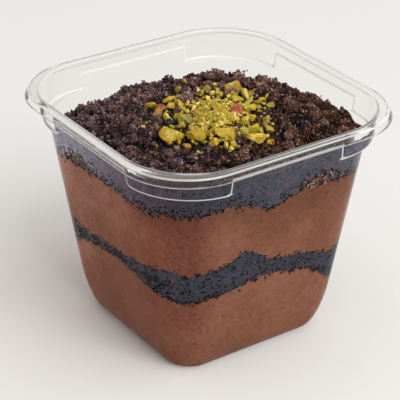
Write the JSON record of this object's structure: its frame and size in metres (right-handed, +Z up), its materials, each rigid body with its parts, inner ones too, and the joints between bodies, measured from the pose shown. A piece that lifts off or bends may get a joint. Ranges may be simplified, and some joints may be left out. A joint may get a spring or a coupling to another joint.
{
  "type": "layered chocolate mousse cup",
  "caption": "Chocolate mousse dessert layered with dark crumbs in a clear square cup, heaped with crumbs and chopped pistachios.",
  "frame": {"origin": "middle of the cup's underside", "axes": "+Z up, X and Y square to the cup's sides"},
  "size_m": [0.1026, 0.1026, 0.0853],
  "materials": {
    "clear_cup": "clear, glossy, thin formed sheet",
    "mousse": "soft matt with fine bubbles",
    "crumb": "dry crumbs, rough"
  },
  "bodies": {
    "root": {"cup": "clear_cup", "mousse_lower": "mousse", "crumb_layer": "crumb", "mousse_upper": "mousse", "crumb_top": "crumb"}
  },
  "joints": []
}
